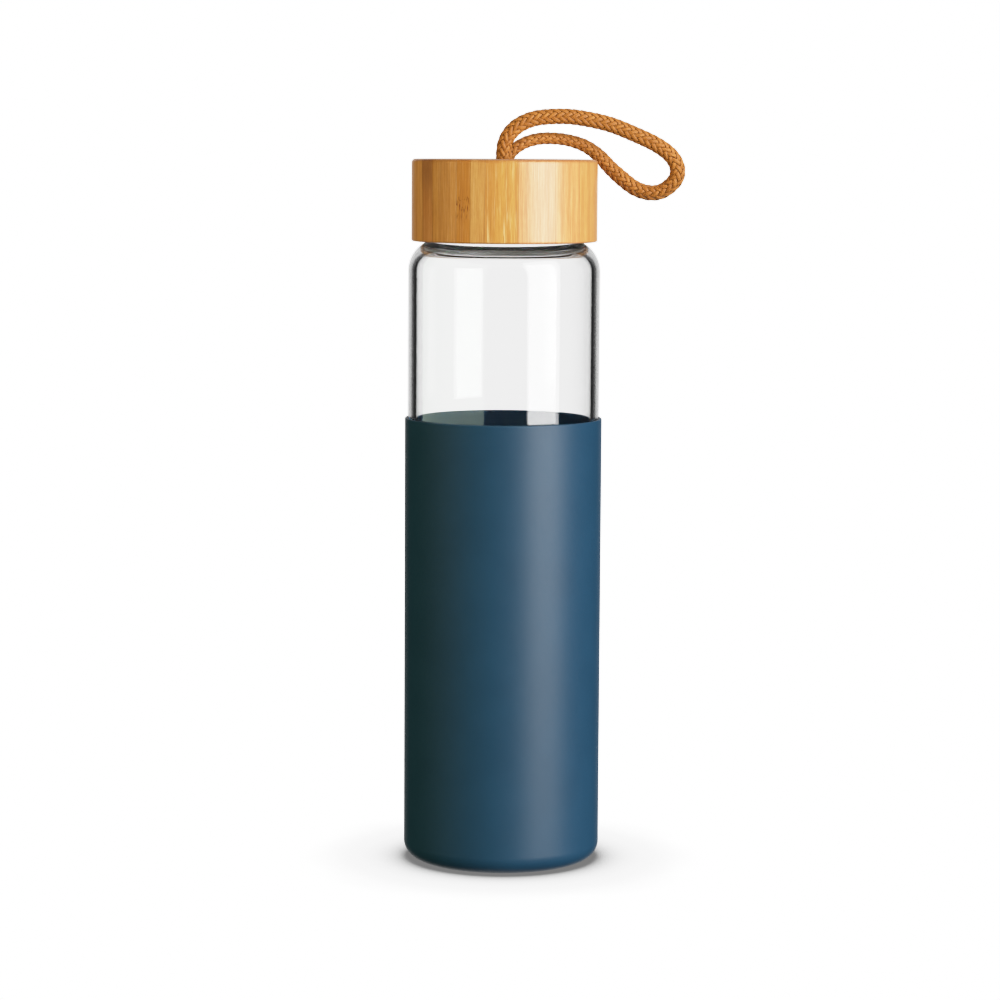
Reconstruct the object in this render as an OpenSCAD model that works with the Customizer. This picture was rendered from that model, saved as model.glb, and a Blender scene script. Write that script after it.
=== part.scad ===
// Glass water bottle with a silicone sleeve, a screw-on bamboo lid and a carry cord.
// Millimetres, +Z up. The origin is the centre of the sleeve's base, on the surface it stands on.
// The wide side of the cord loop lies towards +X.

/* [Overall] */
// Height from the base to the top of the lid
total_h = 235.7; // [215:0.1:260]

/* [Sleeve] */
// Outer radius of the sleeve
sleeve_r = 33; // [32.5:0.1:34]
// Height of the sleeve
sleeve_h = 149.5; // [100:0.5:170]
// Thickness of the sleeve's wall
sleeve_wall = 0.95; // [0.8:0.05:1.2]
// Thickness of the sleeve's floor
sleeve_floor = 1.8; // [1.4:0.1:2.6]
// Rounding of the sleeve's lower edge
sleeve_corner = 6; // [5:0.5:8]

/* [Glass] */
// Thickness of the glass wall
glass_wall = 2.7; // [2.4:0.1:3]
// Thickness of the glass base
glass_base = 6; // [5:0.5:9]
// Outer radius of the shoulder's curve
shoulder_r = 11; // [10.5:0.5:12]
// Inner radius of the shoulder's curve
shoulder_inner_r = 7.85; // [7.5:0.05:8]
// Depth of the shoulder's roof, inside, below the lid's lower edge
roof_drop = 2.15; // [2:0.05:2.5]
// Outer radius of the neck
neck_r = 25.6; // [25:0.1:26]
// Inner radius of the mouth
mouth_r = 23.2; // [22.5:0.1:23.5]
// Height of the neck above the lid's lower edge
neck_h = 12.7; // [12:0.1:14]

/* [Thread] */
// Rise of the lid in one turn
thread_lead = 4; // [3.5:0.1:4.4]
// Angle that the thread on the neck runs through, in degrees
thread_run = 500; // [360:10:540]
// Height of the thread's crest above the neck
thread_depth = 1; // [0.6:0.1:1]

/* [Lid] */
// Outer radius of the lid
lid_r = 31; // [30.5:0.1:32]
// Height of the lid
lid_h = 27.3; // [26:0.1:30]
// Rounding of the lid's upper edge
lid_round_top = 1.3; // [0.8:0.1:2]
// Rounding of the lid's lower edge
lid_round_low = 0.7; // [0.4:0.1:1]
// Radius of the hole for the cord
cord_hole_r = 4.3; // [4.2:0.1:5]

/* [Cord] */
// Half width of the flattened cord
cord_wide = 2.65; // [2.45:0.05:2.7]
// Half thickness of the flattened cord
cord_thin = 2.05; // [1.9:0.05:2.1]

/* [Hidden] */

$fn = 96;
overlap = 0.01;               // how far shapes that join run into each other
past = 1;                     // how far a cutting shape runs past what it cuts

// Sleeve and the glass inside it
sleeve_gap = 0.05;            // running fit of the glass in the sleeve
sleeve_lip = 0.4;             // rounding of the sleeve's rim
stand_ring_r = 20;            // inside this radius the sleeve's base is raised
stand_ring_lift = 0.6;
bore_r = sleeve_r - sleeve_wall;
glass_r = bore_r - sleeve_gap;
sleeve_inner_corner = 4.8;
glass_corner = 5.5;
punt_r = 22;                  // the hollow under the glass base
punt_depth = 1.5;
floor_corner = 7;             // rounding of the glass floor inside
glass_floor_z = sleeve_floor + glass_base;

// Lid, neck and shoulder
lid_z = total_h - lid_h;
mouth_z = lid_z + neck_h;
shoulder_axis = glass_r - shoulder_r;
shoulder_z = lid_z - sqrt(pow(shoulder_r, 2) - pow(neck_r - shoulder_axis, 2));
shoulder_centre = [shoulder_axis, shoulder_z];
cavity_r = glass_r - glass_wall;
cavity_centre = [cavity_r - shoulder_inner_r, lid_z - roof_drop - shoulder_inner_r];
neck_fillet = 1.5;            // outside, where the shoulder meets the neck
neck_inner_fillet = 1.2;      // inside, where the shoulder meets the mouth

// Threaded insert in the lid
insert_r = lid_r - 2.6;
insert_bore_r = insert_r - 1.4;
insert_z = lid_z + 0.5;
insert_disc = 1.4;
gasket_h = 1.5;
gasket_clear = 0.35;
disc_z = mouth_z + gasket_h;
insert_top_z = disc_z + insert_disc;
plug_r = 21.6;                // ring that holds the gasket from inside
plug_wall = 1;
plug_drop = 2.6;
thread_start_z = lid_z + 3;
thread_crest_half = 0.5;
thread_root_half = 1.4;
thread_bury = 0.6;            // how far the thread's root goes into the wall
thread_sink = 0.15;           // how far its faded ends start below the wall's face
insert_crest_r = neck_r + 0.35;

// Cavity in the lid for the adhesive and the knot
adhesive_h = 0.4;
adhesive_r_in = 13;
adhesive_r_out = insert_r - 0.6;
lid_bore_r = insert_r + 0.1;
lid_bore_z = insert_top_z + adhesive_h;
knot_cavity_r = 12;
knot_cavity_z = total_h - 3.8;
hole_round = 0.5;
knot_r = 9.3;
knot_h = 6.9;
knot_round = 3;
knot_top_z = knot_cavity_z - 0.3;

// Cord. The route starts and ends inside the hole in the lid; heights are from the lid's top.
cord_sides = 10;
cord_route = [
    [-0.6, -1.9, -1.0], [-0.5, -1.9, 2.0], [0.0, -1.9, 5.2], [1.6, -1.8, 8.4], [4.6, -1.6, 11.2],
    [9.3, -1.2, 13.3], [15.2, -0.8, 14.1], [21.8, -0.4, 14.1], [28.6, 0.2, 13.1], [35.6, 0.9, 11.4],
    [43.0, 1.7, 8.5], [50.0, 2.6, 5.3], [54.9, 3.4, 1.9], [57.4, 4.2, -1.8], [57.5, 5.0, -5.6],
    [55.3, 5.7, -8.6], [51.9, 6.3, -10.7], [47.8, 6.8, -10.9], [43.5, 7.3, -9.4], [39.2, 7.7, -6.2],
    [35.2, 8.0, -2.6], [31.6, 8.0, 1.2], [27.0, 7.6, 4.4], [21.8, 6.9, 6.2], [16.7, 5.8, 6.9],
    [11.6, 4.4, 6.8], [7.0, 3.2, 5.6], [3.6, 2.3, 3.6], [1.6, 1.9, 1.4], [0.9, 1.9, -1.0]
];
cord_last = len(cord_route) - 1;
squeeze = 1.85;               // half thickness of each strand in the hole
squeeze_wide = 2.45;          // half width of the first strand in the hole
// Half size of the cord in the loop's plane, against the fraction of the route passed
in_plane = [[0, squeeze_wide], [0.12, cord_wide], [0.66, cord_wide], [0.72, 2.38],
            [0.8, cord_thin], [1, cord_thin]];
// Half size of the cord across the loop's plane
across = [[0, squeeze], [0.12, cord_thin], [0.45, cord_thin], [0.6, 2.3], [0.88, 2.3], [1, squeeze]];

// A closed ring of points with half widths a and b
function oval(a, b) = [for (i = [0 : cord_sides - 1])
    [a * cos(360 * i / cord_sides), b * sin(360 * i / cord_sides)]];

function unit(v) = v / norm(v);

// Direction of the cord at a route point; both ends stand upright in the hole
function cord_dir(i) =
    i == 0 ? [0, 0, 1] :
    i == cord_last ? [0, 0, -1] :
    unit(cord_route[i + 1] - cord_route[i - 1]);

function cord_across(i) = unit([0, 1, 0] - cord_dir(i)[1] * cord_dir(i));

// The points of one ring round a route point
function cord_ring(i) =
    let (across_dir = cord_across(i),
         plane_dir = cross(cord_dir(i), across_dir),
         centre = cord_route[i] + [0, 0, total_h],
         part = i / cord_last)
    [for (p = oval(lookup(part, in_plane), lookup(part, across)))
        centre + p[0] * plane_dir + p[1] * across_dir];

// Side faces of a tube of rings with the given number of points each
function tube_faces(rings, sides) = [
    for (i = [0 : rings - 2], j = [0 : sides - 1])
        let (k = (j + 1) % sides)
        each [[i * sides + j, i * sides + k, (i + 1) * sides + j],
              [i * sides + k, (i + 1) * sides + k, (i + 1) * sides + j]]];

function end_faces(rings, sides) = [
    [for (j = [sides - 1 : -1 : 0]) j],
    [for (j = [0 : sides - 1]) (rings - 1) * sides + j]];

// A rectangle from the axis out to r, with its lower outer corner rounded
module low_rounded(r, z0, z1, corner) {
    translate([0, z0 + corner]) square([r, z1 - z0 - corner]);
    translate([0, z0]) square([r - corner, corner + overlap]);
    translate([r - corner, z0 + corner]) intersection() {
        circle(r = corner);
        translate([-overlap, -corner]) square(corner + overlap);
    }
}

// A ring of the wall's thickness with its upper edge fully rounded
module round_lip(r0, r1, z) {
    translate([(r0 + r1) / 2, z - (r1 - r0) / 2]) circle(r = (r1 - r0) / 2);
}

// Turns a half profile, drawn as radius and height, about the Z axis
module turned() {
    rotate_extrude() children();
}

// A helical ridge of trapezium section. root_r is buried in the wall that it grows from.
module thread_ridge(root_r, wall_r, crest_r, z0, from, to, flip) {
    step = 7.5;
    fade = 30;
    count = floor((to - from) / step);
    dir = crest_r > wall_r ? 1 : -1;
    low_r = wall_r - thread_sink * dir;
    function crest(a) = low_r
        + (crest_r - low_r) * min(1, (a - from) / fade, (from + count * step - a) / fade);
    function section(a) = [[root_r, -thread_root_half], [crest(a), -thread_crest_half],
                           [crest(a), thread_crest_half], [root_r, thread_root_half]];
    points = [for (i = [0 : count]) let (a = from + i * step)
        for (p = section(a)) [p[0] * cos(a), p[0] * sin(a), z0 + p[1] + thread_lead * a / 360]];
    faces = concat(tube_faces(count + 1, 4), end_faces(count + 1, 4));
    flipped = [for (f = faces) [for (i = [len(f) - 1 : -1 : 0]) f[i]]];
    polyhedron(points = points, faces = flip ? flipped : faces);
}

// The outside of the glass, solid to the axis
module glass_outline() {
    low_rounded(glass_r, sleeve_floor, shoulder_z, glass_corner);
    shoulder_arc(shoulder_centre, shoulder_r);
    translate([0, shoulder_z - overlap])
        square([neck_r, mouth_z - shoulder_z - (neck_r - mouth_r) / 2 + overlap]);
    corner_fill(shoulder_centre, shoulder_r, neck_r, neck_fillet);
    round_lip(mouth_r, neck_r, mouth_z);
}

// A quarter of a disc, outwards and upwards from its centre
module shoulder_arc(centre, arc_r) {
    translate(centre) intersection() {
        circle(r = arc_r);
        translate([-overlap, -overlap]) square(arc_r + overlap);
    }
}

// Fills the corner between the shoulder's arc and an upright wall with a fillet
module corner_fill(centre, arc_r, wall_r, fillet) {
    reach = arc_r + fillet;
    aside = wall_r + fillet - centre[0];
    rise = sqrt(pow(reach, 2) - pow(aside, 2));
    foot = centre + [aside, rise] * arc_r / reach;
    fillet_centre = centre + [aside, rise];
    buried_r = wall_r - past / 2;
    difference() {
        polygon([[buried_r, fillet_centre[1]], fillet_centre, foot, [buried_r, foot[1] - past]]);
        translate(fillet_centre) circle(r = fillet);
    }
}

// The inside of the glass, from its floor out through the mouth
module glass_cavity() {
    low_rounded(cavity_r, glass_floor_z, cavity_centre[1], floor_corner);
    shoulder_arc(cavity_centre, shoulder_inner_r);
    translate([0, cavity_centre[1] - overlap]) square([mouth_r, mouth_z - cavity_centre[1] + past]);
    corner_fill(cavity_centre, shoulder_inner_r, mouth_r, neck_inner_fillet);
}

// The shallow hollow under the glass base, part of a large sphere
module punt() {
    sphere_r = (pow(punt_r, 2) + pow(punt_depth, 2)) / (2 * punt_depth);
    intersection() {
        translate([0, sleeve_floor + punt_depth - sphere_r]) circle(r = sphere_r);
        translate([0, sleeve_floor - past]) square([punt_r + past, punt_depth + past]);
    }
}

module glass_bottle() {
    color([0.86, 0.9, 0.9, 0.35]) {
        turned() difference() {
            glass_outline();
            glass_cavity();
            punt();
        }
        thread_ridge(neck_r - thread_bury, neck_r, neck_r + thread_depth,
                     thread_start_z, 0, thread_run, false);
    }
}

module silicone_sleeve() {
    color([0.13, 0.27, 0.37]) turned() difference() {
        union() {
            low_rounded(sleeve_r, 0, sleeve_h - sleeve_lip, sleeve_corner);
            translate([0, sleeve_h - sleeve_lip - overlap])
                square([sleeve_r - sleeve_lip, sleeve_lip + overlap]);
            translate([sleeve_r - sleeve_lip, sleeve_h - sleeve_lip]) circle(r = sleeve_lip);
        }
        low_rounded(bore_r, sleeve_floor, sleeve_h + past, sleeve_inner_corner);
        translate([0, -past]) square([stand_ring_r, past + stand_ring_lift]);
    }
}

module bamboo_cap() {
    color([0.82, 0.62, 0.36]) turned() difference() {
        union() {
            low_rounded(lid_r, lid_z, total_h - lid_round_top, lid_round_low);
            translate([0, total_h - lid_round_top - overlap])
                square([lid_r - lid_round_top, lid_round_top + overlap]);
            translate([lid_r - lid_round_top, total_h - lid_round_top]) circle(r = lid_round_top);
        }
        translate([0, lid_z - past]) square([lid_bore_r, lid_bore_z - lid_z + past]);
        translate([0, lid_bore_z - past]) square([knot_cavity_r, knot_cavity_z - lid_bore_z + past]);
        translate([0, knot_cavity_z - past]) square([cord_hole_r, total_h - knot_cavity_z + 2 * past]);
        hole_edge();
    }
}

// What the rounding takes off the upper edge of the cord's hole
module hole_edge() {
    difference() {
        translate([cord_hole_r - past, total_h - hole_round]) square(past + hole_round);
        translate([cord_hole_r + hole_round, total_h - hole_round]) circle(r = hole_round);
    }
}

module threaded_insert() {
    color([0.93, 0.93, 0.91]) {
        turned() {
            difference() {
                translate([0, insert_z]) square([insert_r, insert_top_z - insert_z]);
                translate([0, insert_z - past]) square([insert_bore_r, disc_z - insert_z + past]);
            }
            translate([plug_r - plug_wall, disc_z - plug_drop + plug_wall / 2])
                square([plug_wall, plug_drop]);
            round_lip(plug_r - plug_wall, plug_r, disc_z - plug_drop + plug_wall);
        }
        thread_ridge(insert_bore_r + thread_bury, insert_bore_r, insert_crest_r,
                     thread_start_z - thread_lead / 2, 120, thread_run + 60, true);
    }
}

module adhesive_ring() {
    color([0.9, 0.86, 0.7]) turned()
        translate([adhesive_r_in, insert_top_z]) square([adhesive_r_out - adhesive_r_in, adhesive_h]);
}

module sealing_gasket() {
    inner = plug_r + gasket_clear;
    outer = insert_bore_r - gasket_clear;
    color([0.88, 0.89, 0.9]) turned()
        translate([inner, mouth_z]) square([outer - inner, gasket_h]);
}

// The stopper knot under the lid's top, with the two strands that rise from it into the hole
module cord_knot() {
    strand_top = total_h + cord_route[0][2];
    color([0.67, 0.42, 0.18]) {
        turned() {
            translate([0, knot_top_z - knot_h]) square([knot_r - knot_round, knot_h]);
            translate([0, knot_top_z - knot_h + knot_round]) square([knot_r, knot_h - 2 * knot_round]);
            translate([knot_r - knot_round, knot_top_z - knot_round]) circle(r = knot_round);
            translate([knot_r - knot_round, knot_top_z - knot_h + knot_round]) circle(r = knot_round);
        }
        for (i = [0, cord_last])
            translate([cord_route[i][0], cord_route[i][1], knot_top_z - past])
                linear_extrude(strand_top - knot_top_z + past)
                    polygon(oval(lookup(i / cord_last, in_plane), squeeze));
    }
}

module cord_loop() {
    rings = cord_last + 1;
    color([0.69, 0.43, 0.18]) polyhedron(
        points = [for (i = [0 : cord_last]) each cord_ring(i)],
        faces = concat(tube_faces(rings, cord_sides), end_faces(rings, cord_sides)));
}

glass_bottle();
silicone_sleeve();
bamboo_cap();
threaded_insert();
adhesive_ring();
sealing_gasket();
cord_knot();
cord_loop();
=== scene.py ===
# Glass water bottle with a silicone sleeve, a screw-on bamboo lid and a braided carry cord.
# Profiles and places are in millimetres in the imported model's frame; make_mesh turns them into metres.
import math

import bpy
import numpy as np
from mathutils import Matrix, Vector


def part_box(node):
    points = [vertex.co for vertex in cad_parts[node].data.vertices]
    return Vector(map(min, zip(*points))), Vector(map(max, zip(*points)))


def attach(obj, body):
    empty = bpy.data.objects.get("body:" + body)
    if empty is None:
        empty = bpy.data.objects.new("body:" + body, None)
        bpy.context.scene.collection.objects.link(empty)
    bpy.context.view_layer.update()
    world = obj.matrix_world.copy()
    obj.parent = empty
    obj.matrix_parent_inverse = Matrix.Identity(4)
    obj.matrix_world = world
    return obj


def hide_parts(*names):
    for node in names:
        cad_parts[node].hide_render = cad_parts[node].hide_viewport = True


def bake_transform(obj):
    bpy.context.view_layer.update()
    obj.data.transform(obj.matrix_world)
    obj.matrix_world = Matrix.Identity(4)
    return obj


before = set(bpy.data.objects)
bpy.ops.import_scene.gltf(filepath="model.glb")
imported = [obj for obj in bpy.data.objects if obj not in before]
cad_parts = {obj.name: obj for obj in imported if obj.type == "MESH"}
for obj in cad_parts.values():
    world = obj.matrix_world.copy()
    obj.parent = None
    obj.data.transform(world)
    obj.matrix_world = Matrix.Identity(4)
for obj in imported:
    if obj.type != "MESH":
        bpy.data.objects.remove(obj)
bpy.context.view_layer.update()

MM = 0.001


# ---- Sizes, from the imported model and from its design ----

def reach(node):
    """Radius, lowest height and highest height of a CAD node, in millimetres."""
    low, high = (np.array(corner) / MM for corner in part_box(node))
    return float(max(high[1], -low[1])), float(low[2]), float(high[2])


sleeve_r, sleeve_low, sleeve_top = reach("silicone_sleeve")
glass_r, glass_low, mouth_z = reach("glass_bottle")
lid_r, lid_low, lid_top = reach("bamboo_cap")
insert_r, insert_low, insert_top = reach("threaded_insert")
adhesive_r, adhesive_low, adhesive_top = reach("adhesive_ring")
gasket_r, gasket_low, gasket_top = reach("sealing_gasket")
knot_low = reach("cord_knot")[1]

NECK_R = 25.6
LIP_R = 1.2
GLASS_WALL = 2.7
SHOULDER_R = 11
SHOULDER_INNER_R = 7.85
ROOF_DROP = 2.15               # from the lid's lower edge down to the roof inside the shoulder
THREAD_LEAD = 4
THREAD_START = 3               # height of the neck's thread above the lid's lower edge
THREAD_DEPTH = 1


# ---- Camera ----

def add_camera():
    data = bpy.data.cameras.new("camera")
    data.sensor_width = 36
    data.lens = 115.72
    data.clip_end = 50
    camera = bpy.data.objects.new("camera", data)
    bpy.context.scene.collection.objects.link(camera)
    down, left, roll = math.radians(6.3267), 0.000886, 0.00573
    turn = Matrix.Rotation(left, 4, "Z") @ Matrix.Rotation(math.pi / 2 - down, 4, "X")
    camera.matrix_world = (
        Matrix.Translation((0, -1.0749, 0.2408)) @ turn @ Matrix.Rotation(roll, 4, "Z")
    )
    bpy.context.scene.camera = camera


add_camera()


# ---- Mesh helpers ----

def make_mesh(name, points, faces, body=None, slot=None, replaced=(), look=None):
    """A smooth mesh object from points in millimetres, which rides on a body for some CAD nodes."""
    mesh = bpy.data.meshes.new(name)
    mesh.from_pydata((np.asarray(points) * MM).tolist(), [], faces)
    mesh.polygons.foreach_set("use_smooth", [True] * len(mesh.polygons))
    mesh.update()
    piece = bpy.data.objects.new(name, mesh)
    bpy.context.scene.collection.objects.link(piece)
    if look:
        mesh.materials.append(look)
    if replaced:
        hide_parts(*replaced)
    if body:
        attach(piece, body)
    return piece


def arc(centre_r, centre_z, radius, start, end, step=7):
    """Points of an arc in the half plane of radius and height, from one angle to another in degrees."""
    count = max(2, math.ceil(abs(end - start) / step))
    angles = np.radians(np.linspace(start, end, count + 1))
    return [(centre_r + radius * math.cos(a), centre_z + radius * math.sin(a)) for a in angles]


def supported(profile, closed, reach_in=0.12, long=0.6):
    """Adds a point near each end of every long straight stretch, so that smooth shading stays flat there."""
    ends = profile[1:] + profile[:1] if closed else profile[1:]
    result = []
    for here, there in zip(profile, ends):
        result.append(here)
        span = math.dist(here, there)
        if span > long:
            for part in (reach_in / span, 1 - reach_in / span):
                result.append((here[0] + part * (there[0] - here[0]), here[1] + part * (there[1] - here[1])))
    return result if closed else result + [profile[-1]]


def turned(name, profile, segments=192, closed=False, relief=None, **facts):
    """Turns a profile, a list of (radius, height) with the material on its left, about the Z axis.
    An open profile starts and ends on the axis. relief(r, z, angle) is added to the radius."""
    profile = supported(profile, closed)
    r, z = (np.array(v, float)[:, None] for v in zip(*profile))
    angle = np.linspace(0, 2 * np.pi, segments, endpoint=False)[None, :]
    radius = r + (relief(r, z, angle) if relief else 0 * angle)
    grid = np.stack([radius * np.cos(angle), radius * np.sin(angle), z + 0 * angle], axis=-1)
    rows = len(profile)
    points = grid.reshape(-1, 3).tolist()
    index = np.arange(rows * segments).reshape(rows, segments)
    faces = []
    for i in range(rows if closed else rows - 1):
        low, high = index[i], index[(i + 1) % rows]
        on_axis_low = not closed and i == 0
        on_axis_high = not closed and i == rows - 2
        for j in range(segments):
            k = (j + 1) % segments
            if on_axis_low:
                faces.append((int(low[0]), int(high[k]), int(high[j])))
            elif on_axis_high:
                faces.append((int(low[j]), int(low[k]), int(high[0])))
            else:
                faces.append((int(low[j]), int(low[k]), int(high[k]), int(high[j])))
    if not closed:
        keep = np.ones(len(points), bool)
        keep[1:segments] = False
        keep[-segments + 1:] = False
        renumber = np.cumsum(keep) - 1
        points = [p for p, kept in zip(points, keep) if kept]
        faces = [tuple(int(renumber[v]) for v in f) for f in faces]
    return make_mesh(name, points, faces, **facts)


def smoothstep(x):
    x = np.clip(x, 0, 1)
    return x * x * (3 - 2 * x)


def thread_ridge(z, angle, start_z, first, last, crest_half=0.35, root_half=1.1, fade=30):
    """Height from 0 to 1 of a helical thread that runs from one angle to another, in degrees."""
    degrees = np.degrees(angle)
    ridge = 0 * z + 0 * angle
    for turn in range(int(last // 360) + 1):
        along = degrees + 360 * turn
        centre = start_z + THREAD_LEAD * along / 360
        shape = smoothstep((root_half - np.abs(z - centre)) / (root_half - crest_half))
        ends = smoothstep(np.minimum(along - first, last - along) / fade)
        ridge = np.maximum(ridge, shape * ends)
    return ridge


def rows_between(radius, start, end, gap):
    """Points up or down an upright wall."""
    count = max(1, round(abs(end - start) / gap))
    return [(radius, start + (end - start) * i / count) for i in range(count + 1)]


# ---- Material helpers ----

class Nodes:
    """Short ways to add nodes to a node tree and link them."""

    def __init__(self, tree):
        self.tree = tree
        tree.nodes.clear()

    def put(self, target, value):
        if isinstance(value, bpy.types.NodeSocket):
            self.tree.links.new(value, target)
        elif isinstance(value, (tuple, list)) and len(value) == 3 and len(target.default_value) == 4:
            target.default_value = (*value, 1)
        else:
            target.default_value = value

    def add(self, kind, inputs=(), **settings):
        node = self.tree.nodes.new("ShaderNode" + kind)
        for name, value in settings.items():
            setattr(node, name, value)
        for key, value in dict(inputs).items():
            self.put(node.inputs[key], value)
        return node

    def place(self):
        """The point in the row frame, in metres."""
        return self.add("TexCoord").outputs["Object"]

    def attribute(self, name):
        return self.add("Attribute", attribute_name=name).outputs["Vector"]

    def stretched(self, vector, scale):
        return self.add("Mapping", {"Vector": vector, "Scale": scale}).outputs[0]

    def split(self, vector):
        return self.add("SeparateXYZ", {0: vector}).outputs

    def join(self, x, y, z):
        return self.add("CombineXYZ", {0: x, 1: y, 2: z}).outputs[0]

    def noise(self, vector, scale=1, detail=2, roughness=0.5, distortion=0):
        inputs = {"Vector": vector, "Scale": scale, "Detail": detail, "Roughness": roughness,
                  "Distortion": distortion}
        return self.add("TexNoise", inputs).outputs["Fac"]

    def voronoi(self, vector):
        return self.add("TexVoronoi", {"Vector": vector, "Scale": 1}).outputs["Distance"]

    def random(self, value):
        return self.add("TexWhiteNoise", {"W": value}, noise_dimensions="1D").outputs["Value"]

    def maths(self, operation, a, b=0.0):
        return self.add("Math", {0: a, 1: b}, operation=operation).outputs[0]

    def span(self, value, low, high, to_low=0.0, to_high=1.0):
        """Maps low..high to to_low..to_high, clamped and smooth."""
        inputs = {"Value": value, 1: low, 2: high, 3: to_low, 4: to_high}
        return self.add("MapRange", inputs, interpolation_type="SMOOTHSTEP").outputs[0]

    def blend(self, factor, a, b):
        return self.add("Mix", {0: factor, 6: a, 7: b}, data_type="RGBA").outputs[2]

    def ramp(self, value, stops, interpolation="LINEAR"):
        node = self.add("ValToRGB", {0: value})
        node.color_ramp.interpolation = interpolation
        for i, (place, colour) in enumerate(stops):
            stop = node.color_ramp.elements[i] if i < 2 else node.color_ramp.elements.new(place)
            stop.position = place
            stop.color = (*colour, 1)
        return node.outputs[0]

    def bump(self, height, distance, strength=1.0, under=None):
        inputs = {"Height": height, "Distance": distance, "Strength": strength}
        if under is not None:
            inputs["Normal"] = under
        return self.add("Bump", inputs).outputs[0]


class Look(Nodes):
    """A node material built round one Principled shader."""

    def __init__(self, name, **sockets):
        self.material = bpy.data.materials.new(name)
        self.material.use_nodes = True
        super().__init__(self.material.node_tree)
        self.shader = self.add("BsdfPrincipled")
        self.add("OutputMaterial", {"Surface": self.shader.outputs[0]})
        for socket, value in sockets.items():
            self.set(socket.replace("_", " "), value)

    def set(self, socket, value):
        self.put(self.shader.inputs[socket], value)


def srgb(r, g, b):
    """A linear colour from 0..255 display values."""
    return tuple(((v / 255 + 0.055) / 1.055) ** 2.4 if v > 10 else v / 255 / 12.92 for v in (r, g, b))


# ---- Materials ----

def clear_glass():
    look = Look("clear_glass", Base_Color=(1, 1, 1), Roughness=0.0, IOR=1.5, Transmission_Weight=1.0)
    place = look.place()
    wave = look.noise(look.stretched(place, (1, 1, 0.2)), scale=45, detail=1)
    look.set("Normal", look.bump(wave, 0.00001))
    return look.material


def sleeve_silicone():
    look = Look("sleeve_silicone", IOR=1.42)
    place = look.place()
    cloud = look.noise(place, scale=60, detail=3)
    speck = look.noise(place, scale=4200, detail=2)
    colour = look.blend(look.span(cloud, 0.3, 0.7), (0.0110, 0.047, 0.090), (0.0122, 0.051, 0.097))
    look.set("Base Color", colour)
    look.set("Roughness", look.span(look.noise(place, scale=900, detail=3), 0.25, 0.75, 0.41, 0.47))
    fine = look.bump(speck, 0.00002, 0.35)
    look.set("Normal", look.bump(look.noise(place, scale=28, detail=1), 0.0004, 0.25, under=fine))
    return look.material


# Strips of bamboo across the lid: where each one ends, from the left, in millimetres, and its colour.
BAMBOO_STRIPS = [
    (-26.9, srgb(234, 177, 108)), (-23.6, srgb(216, 155, 94)), (-15.7, srgb(216, 159, 84)),
    (-11.2, srgb(202, 139, 56)), (-6.5, srgb(215, 167, 94)), (4.5, srgb(211, 158, 81)),
    (16.6, srgb(221, 160, 105)), (24.5, srgb(221, 158, 100)), (31.0, srgb(214, 157, 93)),
]
NODE_Z = 222.5                 # height of the nodes' marks
NODE_STRIP = (-15.7, -11.2)
FLECKED_STRIP = (-6.5, 4.5)


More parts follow.
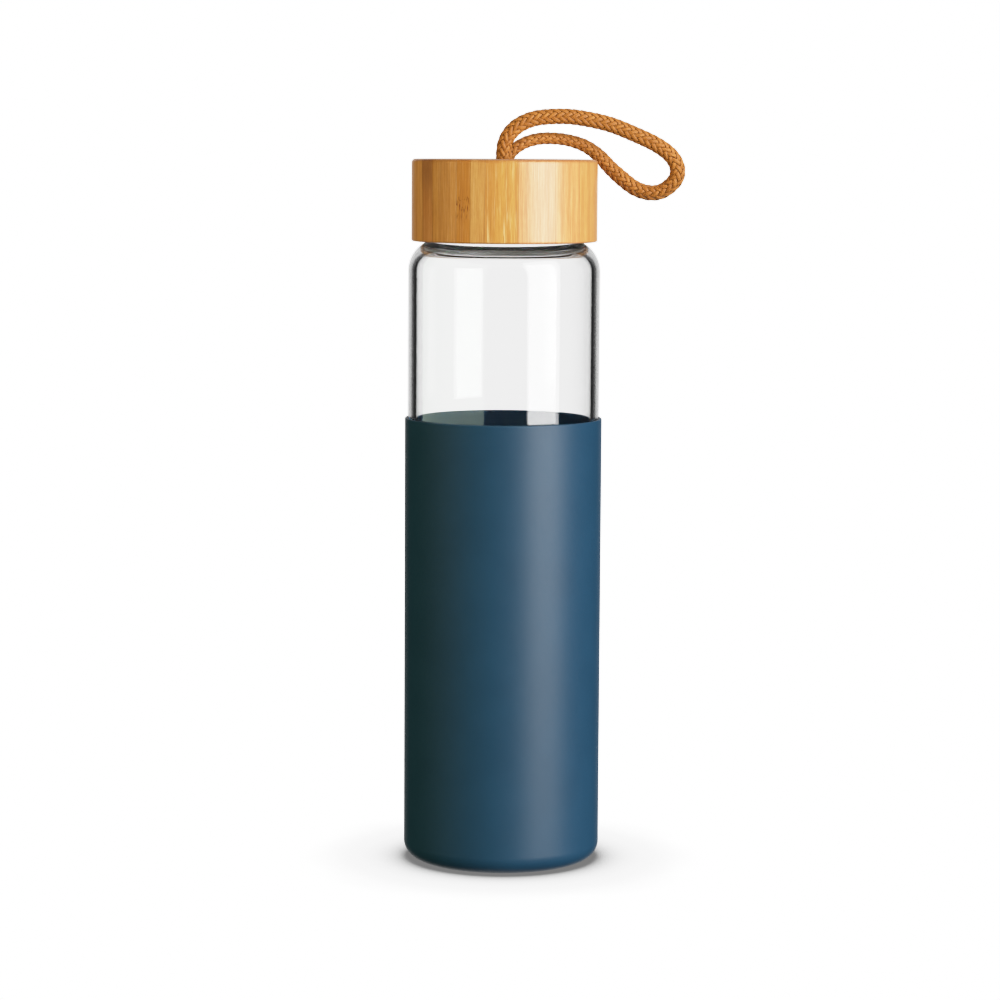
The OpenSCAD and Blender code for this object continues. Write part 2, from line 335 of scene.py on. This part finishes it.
def bamboo():
    """Strips of bamboo glued side by side, with their fibres upright, under a satin lacquer."""
    look = Look("bamboo", IOR=1.5, Specular_IOR_Level=0.1, Coat_Weight=0.85, Coat_Roughness=0.3, Coat_IOR=1.5)
    point = look.stretched(look.place(), (1 / MM, 1 / MM, 1 / MM))
    x, y, z = look.split(point)
    wobble = look.noise(look.stretched(point, (0.05, 0.05, 0.05)), scale=1, detail=1)
    x = look.maths("ADD", x, look.maths("MULTIPLY", look.maths("SUBTRACT", wobble, 0.5), 0.7))

    # Which strip a point is in: across the lid, and front to back
    left = 0.0
    stops = []
    for edge, colour in BAMBOO_STRIPS:
        stops.append((left, colour))
        left = (edge + lid_r) / (2 * lid_r)
    part = look.maths("DIVIDE", look.maths("ADD", x, lid_r), 2 * lid_r)
    tone = look.ramp(part, stops, interpolation="CONSTANT")
    count = 0.0
    for edge, _ in BAMBOO_STRIPS[:-1]:
        count = look.maths("ADD", look.maths("GREATER_THAN", x, edge), count)
    row = look.maths("FLOOR", look.maths("ADD", look.maths("DIVIDE", y, 21), look.random(count)))
    strip = look.maths("ADD", look.maths("MULTIPLY", row, 9.3), count)
    back = look.maths("GREATER_THAN", y, 6)
    other = look.ramp(look.random(strip), [(0, srgb(196, 140, 74)), (1, srgb(224, 178, 108))])
    tone = look.blend(back, tone, other)

    # Fibres run up the lid, so they are streaks on its side and dots on its top
    shift = look.join(strip, look.random(strip), 0.0)
    grown = look.add("VectorMath", {0: point, 1: shift}, operation="ADD").outputs[0]
    broad = look.noise(look.stretched(grown, (0.5, 0.5, 0.01)), scale=1, detail=3)
    fine = look.noise(look.stretched(grown, (3.4, 3.4, 0.07)), scale=1, detail=4, roughness=0.7)
    bundle = look.voronoi(look.stretched(grown, (1.4, 1.4, 0.05)))
    bundle = look.span(bundle, 0.06, 0.3, 1, 0)
    tone = look.blend(look.span(broad, 0.35, 0.65, 0.3, 0), tone, srgb(164, 96, 34))
    tone = look.blend(look.span(fine, 0.36, 0.56, 0.36, 0), tone, srgb(160, 92, 32))
    tone = look.blend(look.span(fine, 0.54, 0.72, 0, 0.34), tone, srgb(248, 218, 168))
    mottle = look.noise(look.stretched(grown, (1.8, 1.8, 0.4)), scale=1, detail=3, roughness=0.6)
    tone = look.blend(look.span(mottle, 0.35, 0.65, 0.14, 0), tone, srgb(168, 104, 44))
    tone = look.blend(look.maths("MULTIPLY", bundle, look.span(broad, 0.3, 0.62, 0.4, 0.08)), tone,
                      srgb(134, 72, 22))

    # Pale flecks in one strip, the nodes' scars in another and a stain that fades down a third
    def within(low, high):
        inside = look.maths("MULTIPLY", look.maths("GREATER_THAN", x, low), look.maths("LESS_THAN", x, high))
        return look.maths("MULTIPLY", inside, look.maths("LESS_THAN", y, 6))

    fleck = look.noise(look.stretched(grown, (1.5, 1.5, 0.09)), scale=1, detail=2, distortion=0.3)
    low_down = look.span(z, 208, 226, 0.55, 0.2)
    fleck = look.maths("MULTIPLY", look.span(fleck, 0.55, 0.7), within(*FLECKED_STRIP))
    tone = look.blend(look.maths("MULTIPLY", fleck, low_down), tone, srgb(250, 222, 168))
    scar = look.noise(look.stretched(grown, (2.6, 2.6, 0.5)), scale=1, detail=3, distortion=0.2)
    drop = look.maths("SUBTRACT", NODE_Z, z)
    scar = look.maths("MULTIPLY", look.span(scar, 0.5, 0.68, 0, 1), look.span(drop, -1.6, -0.6))
    scar = look.maths("MULTIPLY", scar, look.span(drop, 1, 9, 1, 0))
    tone = look.blend(look.maths("MULTIPLY", scar, within(*NODE_STRIP)), tone, srgb(120, 58, 14))
    stain = look.maths("MULTIPLY", look.span(z, 219, 233, 0, 0.8), within(-26.9, -23.6))
    stain = look.maths("MULTIPLY", stain, look.span(fine, 0.6, 0.4, 0.3, 0.7))
    tone = look.blend(stain, tone, srgb(112, 70, 48))

    # Glue lines between the strips
    glue = 0.0
    for edge, _ in BAMBOO_STRIPS[:-1]:
        near = look.maths("ABSOLUTE", look.maths("SUBTRACT", x, edge))
        glue = look.maths("MAXIMUM", look.span(near, 0.05, 0.16, 0.4, 0), glue)
    tone = look.blend(glue, tone, srgb(120, 72, 30))

    # Darker along the top rounding and the top face: painted shade under the top edge, and partly the end
    # grain's own darker tone
    rim_shade_wobble = look.noise(look.stretched(point, (0.4, 0.4, 2)), scale=1, detail=2)
    rim = look.maths("ADD", z, look.maths("MULTIPLY", rim_shade_wobble, 1.2))
    tone = look.blend(look.span(rim, lid_top - 0.9, lid_top + 0.3, 0, 0.5), tone, srgb(150, 92, 44))
    look.set("Base Color", tone)
    look.set("Roughness", look.span(fine, 0.25, 0.75, 0.5, 0.38))
    height = look.maths("SUBTRACT", fine, look.maths("MULTIPLY", bundle, 0.6))
    look.set("Normal", look.bump(height, 0.00006, 0.6))
    return look.material


def insert_plastic():
    look = Look("insert_plastic", IOR=1.49, Subsurface_Weight=0.1, Subsurface_Scale=0.002)
    place = look.place()
    tone = look.noise(place, scale=150, detail=2)
    look.set("Base Color", look.blend(tone, (0.80, 0.79, 0.76), (0.85, 0.84, 0.81)))
    look.set("Roughness", look.span(look.noise(place, scale=700, detail=3), 0.3, 0.7, 0.34, 0.44))
    look.set("Normal", look.bump(look.noise(place, scale=2600, detail=2), 0.00002, 0.4))
    return look.material


def gasket_silicone():
    look = Look("gasket_silicone", IOR=1.41, Transmission_Weight=0.35, Subsurface_Weight=0.3,
                Subsurface_Scale=0.002)
    place = look.place()
    tone = look.noise(place, scale=220, detail=3)
    look.set("Base Color", look.blend(tone, (0.80, 0.82, 0.82), (0.88, 0.89, 0.88)))
    look.set("Roughness", look.span(look.noise(place, scale=900, detail=3), 0.3, 0.7, 0.36, 0.5))
    look.set("Normal", look.bump(look.noise(place, scale=3000, detail=2), 0.00002, 0.4))
    return look.material


def adhesive():
    look = Look("adhesive", IOR=1.55, Transmission_Weight=0.2)
    place = look.place()
    tone = look.noise(place, scale=260, detail=4)
    look.set("Base Color", look.blend(tone, (0.62, 0.50, 0.26), (0.74, 0.64, 0.40)))
    look.set("Roughness", look.span(look.noise(place, scale=500, detail=3), 0.3, 0.7, 0.18, 0.4))
    look.set("Normal", look.bump(look.noise(place, scale=900, detail=3), 0.00008, 0.5))
    return look.material


def cord_braid():
    """Yarn points carry where they are: round the yarn (x, y) and along it in millimetres (z)."""
    look = Look("cord_braid", IOR=1.5, Specular_IOR_Level=0.25, Sheen_Weight=0.2, Sheen_Roughness=0.35,
                Sheen_Tint=(0.95, 0.66, 0.3))
    yarn = look.attribute("yarn")
    turn = look.noise(look.stretched(yarn, (1, 1, 0.25)), scale=1.1, detail=1)
    fibres = look.noise(look.stretched(yarn, (4, 4, 0.35)), scale=1, detail=2)
    tone = look.blend(look.span(fibres, 0.3, 0.72), srgb(152, 93, 32), srgb(194, 130, 60))
    tone = look.blend(look.span(turn, 0.35, 0.65, 0, 0.3), tone, srgb(132, 77, 26))
    # Painted shade: each yarn's inward side, down in the grooves between the yarns, is darkened to deep brown
    out = look.split(yarn)[1]
    tone = look.blend(look.span(out, -0.1, 0.95, 0.94, 0), tone, srgb(66, 27, 3))
    look.set("Base Color", tone)
    look.set("Roughness", look.span(fibres, 0.3, 0.7, 0.42, 0.6))
    look.set("Normal", look.bump(fibres, 0.00008, 0.6))
    return look.material


def cord_core():
    look = Look("cord_core", Roughness=0.9)
    # Painted shade: the core is coloured much darker than the yarns, so the gaps where it shows between them
    # read dark
    tone = look.noise(look.place(), scale=1500, detail=2)
    look.set("Base Color", look.blend(tone, srgb(92, 50, 14), srgb(116, 64, 20)))
    return look.material


# ---- The cord: a braid of sixteen yarns round a core ----

CORD_ROUTE = [
    (-0.6, -1.9, -1.0), (-0.5, -1.9, 2.0), (0.0, -1.9, 5.2), (1.6, -1.8, 8.4), (4.6, -1.6, 11.2),
    (9.3, -1.2, 13.3), (15.2, -0.8, 14.1), (21.8, -0.4, 14.1), (28.6, 0.2, 13.1), (35.6, 0.9, 11.4),
    (43.0, 1.7, 8.5), (50.0, 2.6, 5.3), (54.9, 3.4, 1.9), (57.4, 4.2, -1.8), (57.5, 5.0, -5.6),
    (55.3, 5.7, -8.6), (51.9, 6.3, -10.7), (47.8, 6.8, -10.9), (43.5, 7.3, -9.4), (39.2, 7.7, -6.2),
    (35.2, 8.0, -2.6), (31.6, 8.0, 1.2), (27.0, 7.6, 4.4), (21.8, 6.9, 6.2), (16.7, 5.8, 6.9),
    (11.6, 4.4, 6.8), (7.0, 3.2, 5.6), (3.6, 2.3, 3.6), (1.6, 1.9, 1.4), (0.9, 1.9, -1.0),
]
CORD_WIDE = 2.65               # half width of the flattened cord
CORD_THIN = 2.05               # half thickness
CORD_PLUMP = 2.3               # half thickness where it turns back
SQUEEZED = 1.85                # half thickness in the hole
SQUEEZED_WIDE = 2.45           # half width in the hole
YARNS = 8                      # in each of the two directions
BRAID_LEAD = 20.0              # length in which a yarn goes once round the cord
YARN_W = 1.55
YARN_H = 0.9
YARN_WAVE = 0.3                # how far a yarn rises and dips where it crosses others
YARN_SIDES = 8
CORE_INSET = 1.0               # from the cord's outside to its core


def curve_through(points, gap, first, last):
    """A smooth curve through the points, sampled evenly. first and last are its end directions.
    Returns the samples and, for each, how much of the route's points it has passed and its length so far."""
    points = np.array(points, float)
    ends = [points[0] - np.array(first), points[-1] + np.array(last)]
    p = np.vstack([ends[0], points, ends[1]])
    fine = []
    for i in range(1, len(p) - 2):
        for t in np.linspace(0, 1, 40, endpoint=False):
            a, b, c, d = p[i - 1:i + 3]
            fine.append((0.5 * (2 * b + (c - a) * t + (2 * a - 5 * b + 4 * c - d) * t ** 2
                                + (3 * b - 3 * c + d - a) * t ** 3), (i - 1 + t) / (len(points) - 1)))
    fine.append((p[-2], 1.0))
    place = np.array([f[0] for f in fine])
    passed = np.array([f[1] for f in fine])
    run = np.concatenate([[0], np.cumsum(np.linalg.norm(np.diff(place, axis=0), axis=1))])
    count = max(8, round(run[-1] / gap))
    even = np.linspace(0, run[-1], count + 1)
    samples = np.stack([np.interp(even, run, place[:, k]) for k in range(3)], axis=1)
    return samples, np.interp(even, run, passed), even


def unit(v):
    return v / np.linalg.norm(v, axis=-1, keepdims=True)


def cord_frame(centre):
    """Directions in the loop's plane and across it, at each point of the cord's line."""
    along = unit(np.gradient(centre, axis=0))
    across = unit(np.array([0, 1.0, 0]) - along[:, 1:2] * along)
    return along, np.cross(along, across), across


def tube(rings):
    """Points and faces of a closed tube through rings of equal size."""
    count, sides, _ = rings.shape
    index = np.arange(count * sides).reshape(count, sides)
    faces = []
    for i in range(count - 1):
        for j in range(sides):
            k = (j + 1) % sides
            faces.append((int(index[i, j]), int(index[i + 1, j]), int(index[i + 1, k]), int(index[i, k])))
    faces.append(tuple(int(v) for v in index[0]))
    faces.append(tuple(int(v) for v in index[-1][::-1]))
    return rings.reshape(-1, 3), faces


def yarn_rings(centre, plane, across, half_a, half_b, run, start, sense):
    """One yarn: it winds round the cord and rises over two of the others, then dips under two."""
    angle = start + sense * 2 * np.pi * run / BRAID_LEAD
    column = 4 * angle - np.pi / 4
    rise = sense * YARN_WAVE * np.tanh(1.8 * np.cos(column)) / math.tanh(1.8)
    inset = YARN_H / 2 + YARN_WAVE
    a, b = half_a - inset + rise, half_b - inset + rise
    cos, sin = np.cos(angle)[:, None], np.sin(angle)[:, None]
    line = centre + a[:, None] * cos * plane + b[:, None] * sin * across
    out = unit(cos / half_a[:, None] * plane + sin / half_b[:, None] * across)
    along = unit(np.gradient(line, axis=0))
    side = unit(np.cross(along, out))
    out = np.cross(side, along)
    turn = np.linspace(0, 2 * np.pi, YARN_SIDES, endpoint=False)
    flat = np.sign(np.cos(turn)) * np.abs(np.cos(turn)) ** 0.8
    rings = (line[:, None] + YARN_W / 2 * flat[None, :, None] * side[:, None]
             + YARN_H / 2 * np.sin(turn)[None, :, None] * out[:, None])
    step = np.linalg.norm(np.diff(line, axis=0), axis=1)
    length = np.concatenate([[0], np.cumsum(step)])
    return rings, turn, length


def braid(name, centre, frame_of, half_a, half_b, run, materials):
    """A braided cord along a line, with its core, as one mesh."""
    _, plane, across = frame_of(centre)
    points, faces, marks, slots = [], [], [], []
    base = 0
    for sense in (1, -1):
        for k in range(YARNS):
            start = 2 * np.pi * k / YARNS
            rings, turn, length = yarn_rings(centre, plane, across, half_a, half_b, run, start, sense)
            p, f = tube(rings)
            points.append(p)
            faces += [tuple(v + base for v in face) for face in f]
            slots += [0] * len(f)
            shift = 37.0 * (k + YARNS * (sense > 0))
            mark = np.zeros((len(length), len(turn), 3))
            mark[..., 0] = np.cos(turn)[None] + shift
            mark[..., 1] = np.sin(turn)[None]
            mark[..., 2] = length[:, None]
            marks.append(mark.reshape(-1, 3))
            base += len(p)
    turn = np.linspace(0, 2 * np.pi, 16, endpoint=False)
    a, b = (half_a - CORE_INSET)[:, None, None], (half_b - CORE_INSET)[:, None, None]
    rings = (centre[:, None] + a * np.cos(turn)[None, :, None] * plane[:, None]
             + b * np.sin(turn)[None, :, None] * across[:, None])[::2]
    p, f = tube(rings)
    points.append(p)
    faces += [tuple(v + base for v in face) for face in f]
    slots += [1] * len(f)
    marks.append(p)
    piece = make_mesh(name, np.vstack(points), faces)
    for material in materials:
        piece.data.materials.append(material)
    piece.data.polygons.foreach_set("material_index", slots)
    data = piece.data.attributes.new("yarn", "FLOAT_VECTOR", "POINT")
    data.data.foreach_set("vector", np.vstack(marks).astype(np.float32).ravel())
    return piece


def carry_loop(materials):
    route = [(x, y, z + lid_top) for x, y, z in CORD_ROUTE]
    centre, passed, run = curve_through(route, 0.46, first=(0, 0, 3), last=(0, 0, -3))
    half_a = np.interp(passed, [0, 0.12, 0.66, 0.72, 0.8, 1],
                       [SQUEEZED_WIDE, CORD_WIDE, CORD_WIDE, 2.38, CORD_THIN, CORD_THIN])
    half_b = np.interp(passed, [0, 0.12, 0.45, 0.6, 0.88, 1],
                       [SQUEEZED, CORD_THIN, CORD_THIN, CORD_PLUMP, CORD_PLUMP, SQUEEZED])
    piece = braid("carry_loop", centre, cord_frame, half_a, half_b, run, materials)
    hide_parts("cord_loop")
    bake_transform(piece)
    return piece


cord_looks = [cord_braid(), cord_core()]
carry_loop(cord_looks)


# ---- Glass ----

def glass_body():
    base = glass_low
    wall_r = glass_r - GLASS_WALL
    axis = glass_r - SHOULDER_R
    shoulder_z = lid_low - math.sqrt(SHOULDER_R ** 2 - (NECK_R - axis) ** 2)
    outer_fillet, inner_fillet, inner_r = 1.5, 1.2, SHOULDER_INNER_R
    mouth_r = NECK_R - 2 * LIP_R
    lip_z = mouth_z - LIP_R
    inner_axis, inner_z = wall_r - inner_r, lid_low - ROOF_DROP - inner_r
    punt_r, punt_depth = 22, 1.5
    punt_sphere = (punt_r ** 2 + punt_depth ** 2) / (2 * punt_depth)
    punt_angle = math.degrees(math.asin(punt_r / punt_sphere))
    corner, floor_corner, floor_z = 5.5, 7, base + 6

    def joint(arc_r, aside, fillet):
        rise = math.sqrt((arc_r + fillet) ** 2 - (aside + fillet) ** 2)
        return rise, math.degrees(math.atan2(rise, aside + fillet))

    rise_out, angle_out = joint(SHOULDER_R, NECK_R - axis, outer_fillet)
    rise_in, angle_in = joint(inner_r, mouth_r - inner_axis, inner_fillet)
    profile = (
        arc(0, base + punt_depth - punt_sphere, punt_sphere, 90, 90 - punt_angle, 1)
        + arc(glass_r - corner, base + corner, corner, -90, 0)
        + rows_between(glass_r, base + corner + 4, shoulder_z - 1, 12)
        + arc(axis, shoulder_z, SHOULDER_R, 0, angle_out, 3)
        + arc(NECK_R + outer_fillet, shoulder_z + rise_out, outer_fillet, 180 + angle_out, 180)[1:]
        + rows_between(NECK_R, shoulder_z + rise_out + 0.15, lip_z - 0.15, 0.15)
        + arc(NECK_R - LIP_R, lip_z, LIP_R, 0, 180)
        + arc(mouth_r + inner_fillet, inner_z + rise_in, inner_fillet, 180, 180 + angle_in, 5)
        + arc(inner_axis, inner_z, inner_r, angle_in, 0, 3)[1:]
        + rows_between(wall_r, inner_z - 1, floor_z + floor_corner + 4, 12)
        + arc(wall_r - floor_corner, floor_z + floor_corner, floor_corner, 0, -90)
        + [(0, floor_z)]
    )

    def relief(r, z, angle):
        ridge = thread_ridge(z, angle, lid_low + THREAD_START, 0, 500)
        on_neck = (r > NECK_R - 0.01) & (r < NECK_R + 0.01) & (z > lid_low)
        return THREAD_DEPTH * ridge * on_neck

    return turned("glass_body", profile, 256, relief=relief, body="bottle", slot="clear_glass",
                  replaced=["glass_bottle"], look=clear_glass())


glass_body()


# ---- Sleeve ----

def sleeve_skin():
    wall, floor, corner, inner_corner = 0.95, 1.8, 6, 4.8
    bore_r = sleeve_r - wall
    lip = wall / 2 - 0.03
    ring_r, lift, soft = 20, 0.6, 0.3
    profile = (
        [(0, lift)]
        + arc(ring_r - soft, lift - soft, soft, 90, 0, 15)
        + arc(ring_r + soft, soft, soft, 180, 270, 15)[1:]
        + arc(sleeve_r - corner, corner, corner, -90, 0, 5)
        + rows_between(sleeve_r, corner + 4, sleeve_top - 4, 12)
        + arc(sleeve_r - lip, sleeve_top - lip, lip, 0, 90, 15)
        + arc(bore_r + lip, sleeve_top - lip, lip, 90, 180, 15)
        + rows_between(bore_r, sleeve_top - 4, floor + inner_corner + 4, 12)
        + arc(bore_r - inner_corner, floor + inner_corner, inner_corner, 0, -90, 6)
        + [(0, floor)]
    )
    return turned("sleeve_skin", profile, 256, body="sleeve", slot="sleeve_silicone",
                  replaced=["silicone_sleeve"], look=sleeve_silicone())


sleeve_skin()


# ---- Lid ----

def lid_bamboo():
    bore_r, bore_z = insert_r + 0.1, adhesive_top
    cavity_r, cavity_z = 12, lid_top - 3.8
    hole_r, hole_round = 4.3, 0.5
    top, low, edge = 1.3, 0.7, 0.3
    profile = (
        arc(bore_r + edge, lid_low + edge, edge, 180, 270, 15)
        + arc(lid_r - low, lid_low + low, low, -90, 0, 10)
        + rows_between(lid_r, lid_low + low + 2, lid_top - top - 2, 4)
        + arc(lid_r - top, lid_top - top, top, 0, 90, 8)
        + arc(hole_r + hole_round, lid_top - hole_round, hole_round, 90, 180, 15)
        + arc(hole_r + edge, cavity_z + edge, edge, 180, 270, 15)
        + arc(cavity_r - edge, cavity_z - edge, edge, 90, 0, 15)
        + arc(cavity_r + edge, bore_z + edge, edge, 180, 270, 15)
        + arc(bore_r - edge, bore_z - edge, edge, 90, 0, 15)
    )
    return turned("lid_bamboo", profile, 192, closed=True, body="lid", slot="bamboo",
                  replaced=["bamboo_cap"], look=bamboo())


def lid_insert():
    bore_r, disc = insert_r - 1.4, 1.4
    disc_z = insert_top - disc
    plug_r, plug_wall, plug_drop, edge = 21.6, 1, 2.6, 0.25
    thread_z = lid_low + THREAD_START - THREAD_LEAD / 2
    tip_z = disc_z - plug_drop + plug_wall / 2
    profile = (
        [(0, disc_z)]
        + arc(plug_r - plug_wall - edge, disc_z - edge, edge, 90, 0, 15)
        + arc(plug_r - plug_wall / 2, tip_z, plug_wall / 2, 180, 360, 12)
        + arc(plug_r + edge, disc_z - edge, edge, 180, 90, 15)
        + arc(bore_r - edge, disc_z - edge, edge, 90, 0, 15)
        + rows_between(bore_r, disc_z - edge - 0.3, insert_low + edge + 0.3, 0.15)
        + arc(bore_r + edge, insert_low + edge, edge, 180, 270, 15)
        + arc(insert_r - edge, insert_low + edge, edge, -90, 0, 15)
        + arc(insert_r - edge, insert_top - edge, edge, 0, 90, 15)
        + [(0, insert_top)]
    )

    def relief(r, z, angle):
        ridge = thread_ridge(z, angle, thread_z, 120, 560)
        in_bore = (abs(r - bore_r) < 0.01) & (z < disc_z - 0.5)
        return -(bore_r - NECK_R - 0.35) * ridge * in_bore

    return turned("lid_insert", profile, 256, relief=relief, body="lid", slot="insert_plastic",
                  replaced=["threaded_insert"], look=insert_plastic())


def lid_adhesive():
    inner, soft = 13, 0.15

    def relief(r, z, angle):
        wander = 0.25 * np.sin(5 * angle + 1) + 0.15 * np.sin(11 * angle) + 0.1 * np.sin(23 * angle + 2)
        return np.where(r < (inner + adhesive_r) / 2, 0.5 + wander, -0.5 + wander)

    profile = (
        arc(inner + soft, adhesive_low + soft, soft, 180, 270, 30)
        + arc(adhesive_r - soft, adhesive_low + soft, soft, -90, 0, 30)
        + arc(adhesive_r - soft, adhesive_top - soft, soft, 0, 90, 30)
        + arc(inner + soft, adhesive_top - soft, soft, 90, 180, 30)
    )
    return turned("lid_adhesive", profile, 192, closed=True, relief=relief, body="lid", slot="adhesive",
                  replaced=["adhesive_ring"], look=adhesive())


def mouth_gasket():
    inner, soft = 21.95, 0.35
    top = gasket_top - 0.03        # a hair below the insert, so that the two never rub
    profile = (
        arc(inner + soft, gasket_low + soft, soft, 180, 270, 15)
        + arc(gasket_r - soft, gasket_low + soft, soft, -90, 0, 15)
        + arc(gasket_r - soft, top - soft, soft, 0, 90, 15)
        + arc(inner + soft, top - soft, soft, 90, 180, 15)
    )
    return turned("mouth_gasket", profile, 192, closed=True, body="seal", slot="gasket_silicone",
                  replaced=["sealing_gasket"], look=gasket_silicone())


lid_bamboo()
lid_insert()
lid_adhesive()
mouth_gasket()


# ---- Stopper knot ----

KNOT_MIDDLE = 3.45             # height of the knot's middle above its lowest point
KNOT_R = 5.0                   # mean radius of the knot's line
KNOT_SWING = 2.3               # how far the line swings in and out
KNOT_RISE = 1.7                # how far it rises and dips
KNOT_CORD = 1.72               # half thickness of the tightened cord


def stopper_knot(materials):
    """Both strands come down through the hole into an overhand knot, which is wider than the hole."""
    middle = knot_low + KNOT_MIDDLE
    turn = np.linspace(0, 2 * np.pi, 60, endpoint=False)
    radius = KNOT_R + KNOT_SWING * np.cos(3 * turn)
    height = middle - KNOT_RISE * np.sin(3 * turn)
    knot = np.stack([radius * np.cos(2 * turn), radius * np.sin(2 * turn), height], 1)
    closed = np.vstack([knot, knot[:1]])
    lines = [curve_through(closed, 0.5, first=knot[0] - knot[-1], last=knot[1] - knot[0])]
    half = [(KNOT_CORD, KNOT_CORD), (SQUEEZED_WIDE, SQUEEZED), (CORD_THIN, SQUEEZED)]
    for end in (0, -1):
        x, y, z = CORD_ROUTE[end]
        strand = [(x, y, h) for h in np.linspace(lid_top + z, middle + 1, 6)]
        lines.append(curve_through(strand, 0.5, first=(0, 0, -1), last=(0, 0, -1)))

    def steady_frame(line):
        along = unit(np.gradient(line, axis=0))
        level = np.abs(along[:, 2:3]) < 0.9
        up = np.where(level, np.array([0, 0, 1.0]), np.array([0, 1.0, 0]))
        across = unit(up - np.sum(up * along, axis=1, keepdims=True) * along)
        return along, np.cross(along, across), across

    pieces = []
    for i, (centre, _, run) in enumerate(lines):
        a, b = (np.full(len(run), v) for v in half[i])
        pieces.append(braid(f"stopper_knot_{i}", centre, steady_frame, a, b, run, materials))
    whole = pieces[0]
    with bpy.context.temp_override(active_object=whole, selected_editable_objects=pieces):
        bpy.ops.object.join()
    whole.name = whole.data.name = "stopper_knot"
    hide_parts("cord_knot")
    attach(whole, "cord_root")


stopper_knot(cord_looks)


# ---- Floor, light and background ----

def aim(thing, place, target):
    thing.location = place
    thing.rotation_mode = "QUATERNION"
    thing.rotation_quaternion = (Vector(target) - Vector(place)).to_track_quat("-Z", "Y")


def softbox(name, azimuth, distance, height, size, radiance, colour=(1, 1, 1), unseen=()):
    """A rectangular light. Azimuth 0 is in front of the bottle and 90 is to its right, in degrees."""
    data = bpy.data.lights.new(name, "AREA")
    data.shape = "RECTANGLE"
    data.size, data.size_y = size
    data.energy = radiance * 4 * size[0] * size[1]
    data.color = colour
    light = bpy.data.objects.new(name, data)
    bpy.context.scene.collection.objects.link(light)
    turn = math.radians(azimuth)
    aim(light, (distance * math.sin(turn), -distance * math.cos(turn), height), (0, 0, 0.13))
    for kind in ("camera", *unseen):
        setattr(light, "visible_" + kind, False)
    return light


BACKDROP = (17, 28)            # half width of the white backdrop in degrees, where it starts and stops fading
WHITE = 2.0                    # radiance that shows as pure white
THROUGH_GLASS = 1.38           # radiance of the background behind the glass
STUDIO_DARK = (0.02, 0.02, 0.02)
STUDIO_WHITE = (0.8, 0.8, 0.8)
CEILING = (0.6, 0.58, 0.56)
# How radiance, as a part of WHITE, shows on screen: straight in the shadows, with a soft shoulder
TONES = [(0.25, 0.5), (0.35, 0.665), (0.45, 0.77), (0.6, 0.868), (0.75, 0.915), (0.925, 0.95)]


def set_tones():
    view = bpy.context.scene.view_settings
    view.view_transform = "Standard"
    view.use_curve_mapping = True
    view.curve_mapping.white_level = (WHITE,) * 3
    curve = view.curve_mapping.curves[3]
    for place, shown in TONES:
        curve.points.new(place, shown)
    curve.points[0].handle_type = "VECTOR"
    curve.points[1].handle_type = "VECTOR"
    view.curve_mapping.update()


def add_floor():
    """A pale floor that glows evenly, with a painted soft shadow where the bottle stands. It lights nothing
    itself.
    """
    radius, count = 1200, 96
    turn = np.linspace(0, 2 * np.pi, count, endpoint=False)
    ring = np.stack([radius * np.cos(turn), radius * np.sin(turn), 0 * turn], axis=1)
    look = Look("floor", Base_Color=(0, 0, 0), Roughness=1, Specular_IOR_Level=0, Emission_Color=(1, 1, 1))
    # Painted shadow: the glow drops where ambient occlusion finds the bottle close by
    open_sky = look.add("AmbientOcclusion", {"Distance": 0.045}, samples=16).outputs["AO"]
    look.set("Emission Strength", look.span(open_sky, 0.45, 0.95, 0.2, WHITE))
    floor = make_mesh("floor", ring, [tuple(range(count))], look=look.material)
    floor.visible_diffuse = False
    floor.visible_glossy = False
    floor.visible_shadow = False
    floor.visible_transmission = False


def add_world():
    """White all round for what is seen past the bottle and straight through it. Reflections and the light
    that falls on it come from a dim studio with a white backdrop, which darkens the glass's edges. What the
    glass reflects inside its own walls also sees a pale ceiling and floor."""
    world = bpy.data.worlds.new("studio")
    world.use_nodes = True
    bpy.context.scene.world = world
    sky = Nodes(world.node_tree)
    path = sky.add("LightPath").outputs
    straight = sky.maths("LESS_THAN", path["Glossy Depth"], 0.5)
    past_or_through = sky.maths("MAXIMUM", path["Is Camera Ray"], path["Is Transmission Ray"])
    white = sky.blend(path["Is Camera Ray"], (THROUGH_GLASS,) * 3, (WHITE,) * 3)

    x, y, z = sky.split(sky.add("TexCoord").outputs["Generated"])
    aside = sky.maths("ABSOLUTE", sky.maths("ARCTAN2", x, y))
    backdrop = sky.span(aside, math.radians(BACKDROP[0]), math.radians(BACKDROP[1]), 1, 0)
    steep = sky.span(sky.maths("ABSOLUTE", z), 0.3, 0.7)
    inside_glass = sky.maths("GREATER_THAN", path["Transmission Depth"], 0.5)
    around = sky.blend(sky.maths("MULTIPLY", steep, inside_glass), STUDIO_DARK, CEILING)
    studio = sky.blend(backdrop, around, STUDIO_WHITE)

    colour = sky.blend(sky.maths("MULTIPLY", past_or_through, straight), studio, white)
    glow = sky.add("Background", {"Color": colour}).outputs[0]
    sky.add("OutputWorld", {"Surface": glow})


add_floor()
add_world()
softbox("key", 49.5, 1.2, 0.45, (0.95, 1.3), 7.4)
softbox("fill", -62, 1.3, 0.5, (1.6, 1.4), 1.65, (1, 0.82, 0.47), unseen=("glossy", "transmission"))
softbox("rear", 180, 1.3, 0.1, (0.9, 1.2), 5, (1, 0.93, 0.8), unseen=("glossy", "transmission"))
card = softbox("card", -68, 1, 0.3, (2.1, 1.2), 2.1, (0.77, 1, 0.8), unseen=("diffuse", "transmission"))
glass_only = bpy.data.collections.new("glass_only")
glass_only.objects.link(bpy.data.objects["glass_body"])
card.light_linking.receiver_collection = glass_only
set_tones()
